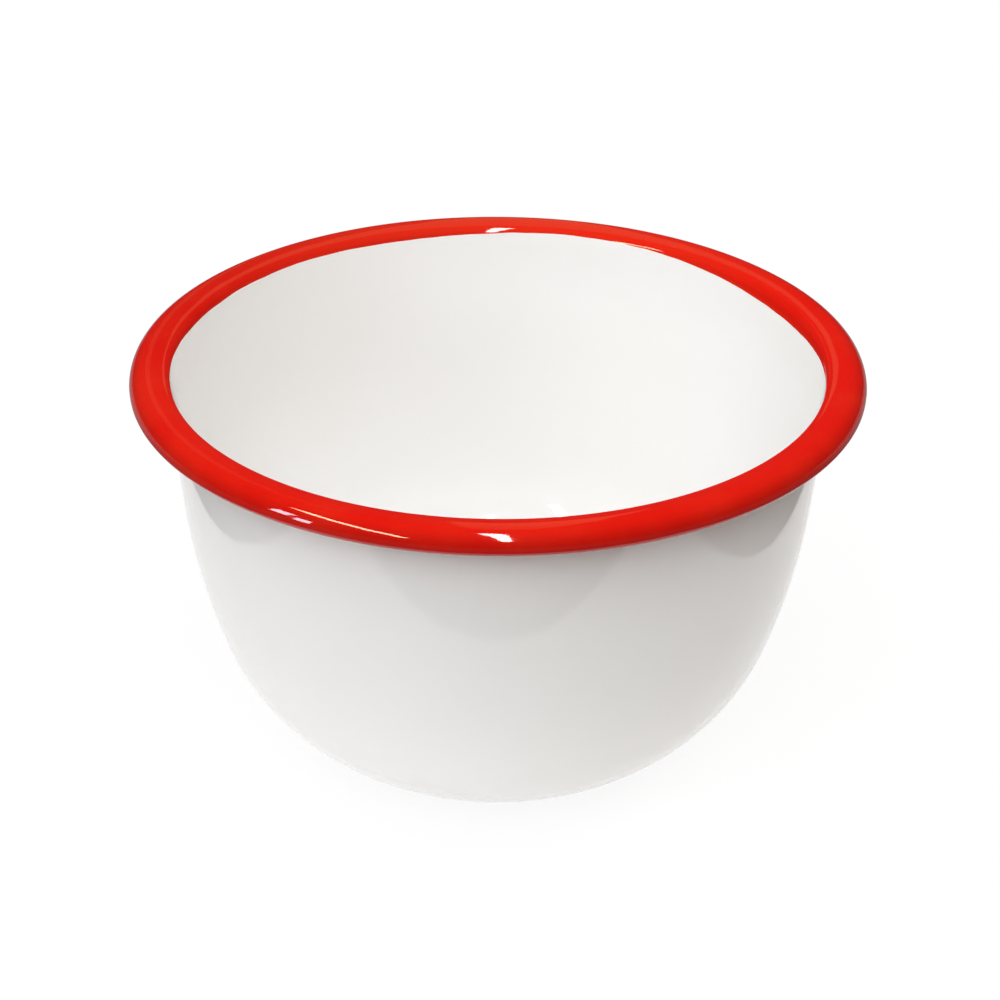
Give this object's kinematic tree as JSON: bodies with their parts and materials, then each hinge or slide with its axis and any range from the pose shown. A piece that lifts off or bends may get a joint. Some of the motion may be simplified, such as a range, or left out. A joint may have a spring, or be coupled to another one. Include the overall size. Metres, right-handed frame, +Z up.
{
  "type": "enamel basin bowl",
  "caption": "Deep round enamelled-steel basin with steep curved sides, a flat standing ring and a rolled red rim, for mixing, steaming or serving food.",
  "frame": {"origin": "middle of the base, on the plane of the standing ring", "axes": "+Z up along the bowl's axis, out of its mouth; -Y towards the camera of the picture"},
  "size_m": [0.16, 0.16, 0.093],
  "materials": {
    "sheet_steel": "satin",
    "ground_enamel": "satin",
    "white_enamel": "gloss",
    "red_enamel": "gloss"
  },
  "bodies": {
    "root": {"steel_shell": "sheet_steel", "ground_coat_inside": "ground_enamel", "ground_coat_outside": "ground_enamel", "white_coat_inside": "white_enamel", "white_coat_outside": "white_enamel", "red_rim_coat": "red_enamel"}
  },
  "joints": []
}
